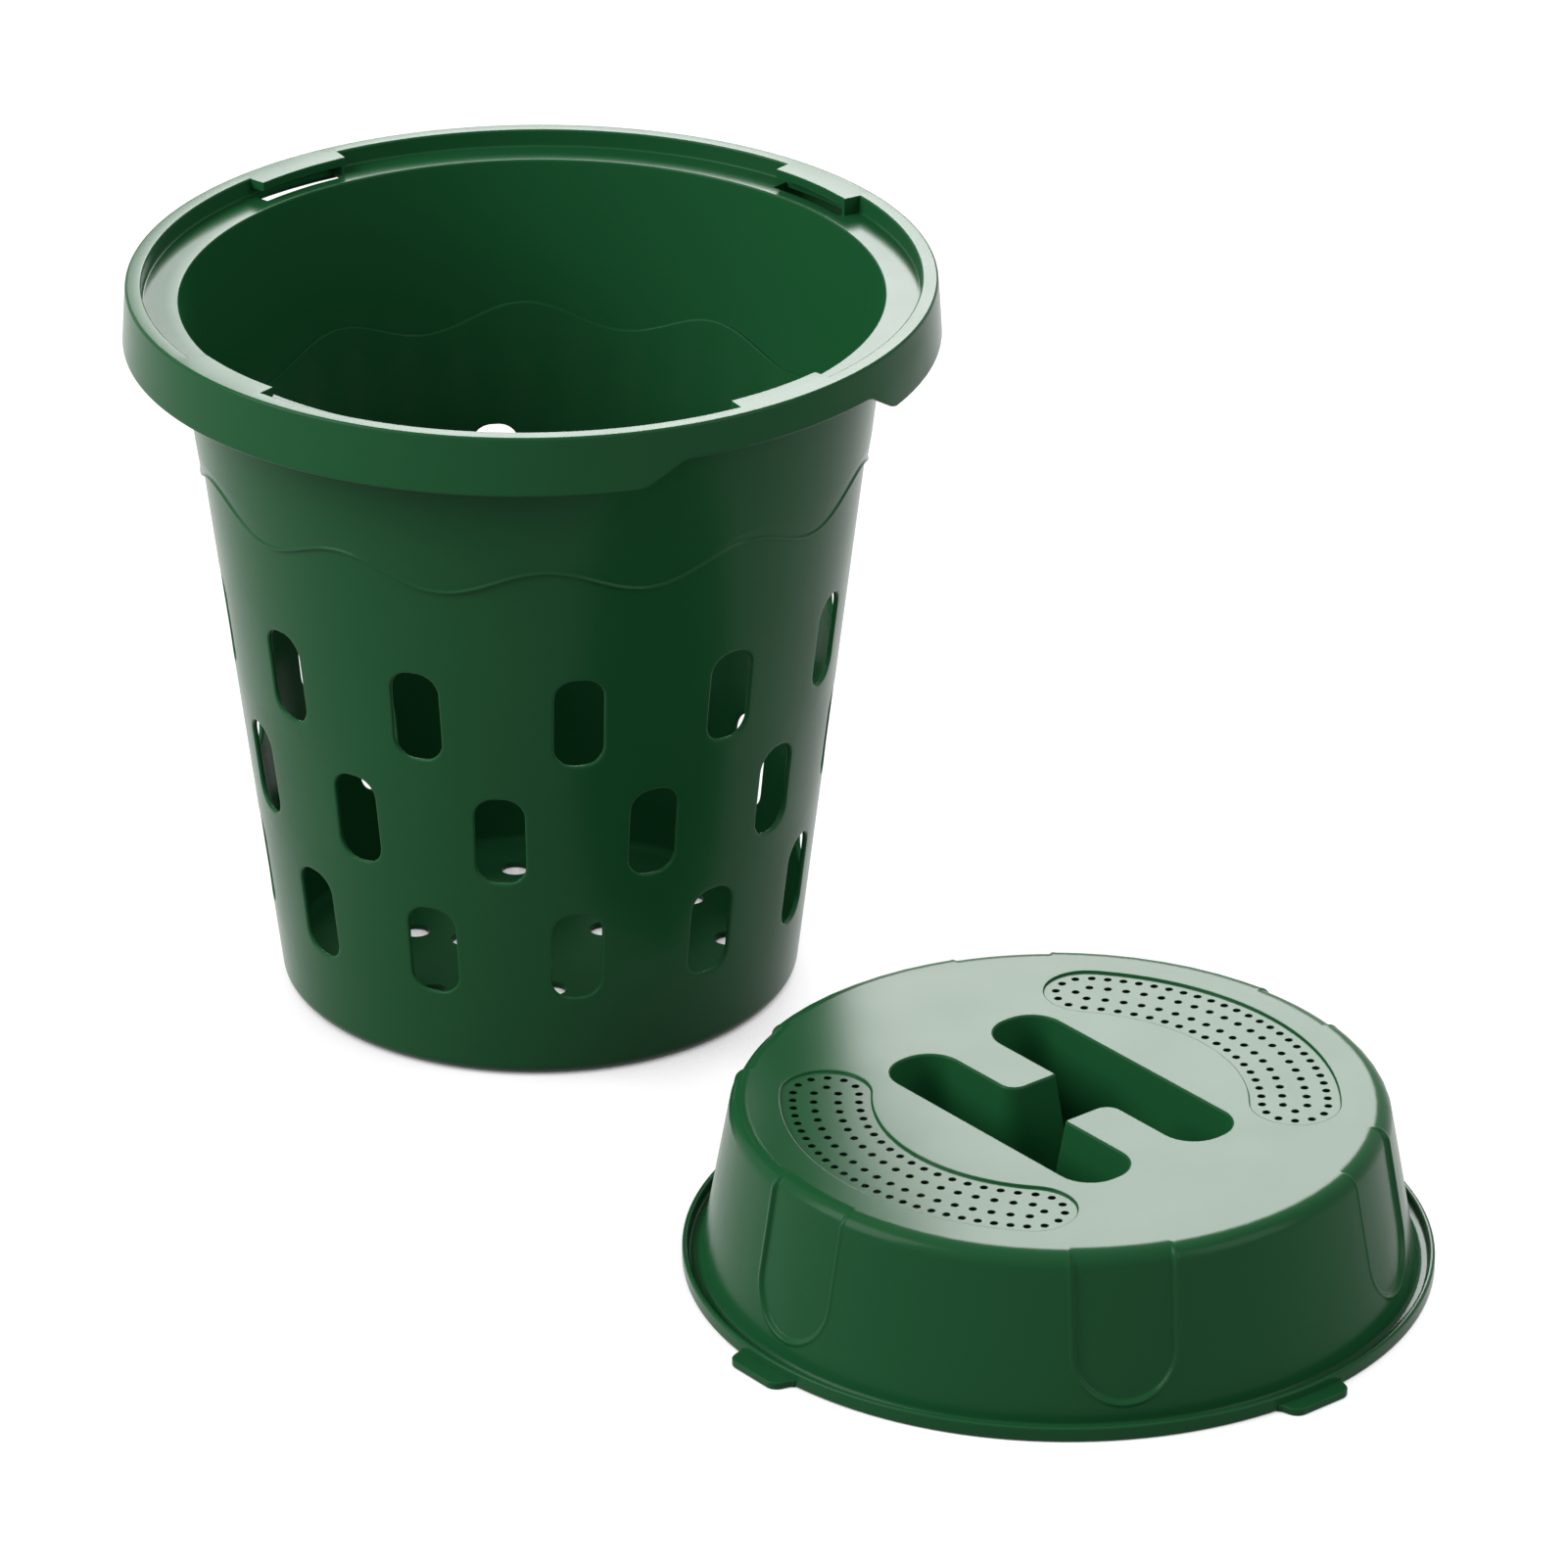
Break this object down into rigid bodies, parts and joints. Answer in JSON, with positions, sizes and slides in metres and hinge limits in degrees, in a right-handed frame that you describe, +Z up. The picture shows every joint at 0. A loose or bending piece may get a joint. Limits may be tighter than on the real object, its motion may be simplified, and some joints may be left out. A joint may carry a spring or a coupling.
{
  "type": "in-ground composter",
  "caption": "Slotted tapered bucket sunk in garden soil to compost food scraps, with a vented twist-lock lid that has a sunken handle, shown lying beside it",
  "frame": {"origin": "centre of the underside of the bucket's base, on the ground", "axes": "+Z up the bucket's axis; the lid lies along -Y from the bucket; X and Y pass through the bayonet tabs"},
  "size_m": [0.333, 0.6552, 0.3105],
  "materials": {
    "bucket_plastic": "satin",
    "lid_plastic": "satin"
  },
  "bodies": {
    "bucket": {"bucket": "bucket_plastic"},
    "lid": {"lid": "lid_plastic"}
  },
  "joints": [
    {"name": "lid_lift", "type": "slide", "parent": "bucket", "child": "lid", "axis": [0, 0, 1], "range_m": [0, 0.33]}
  ]
}
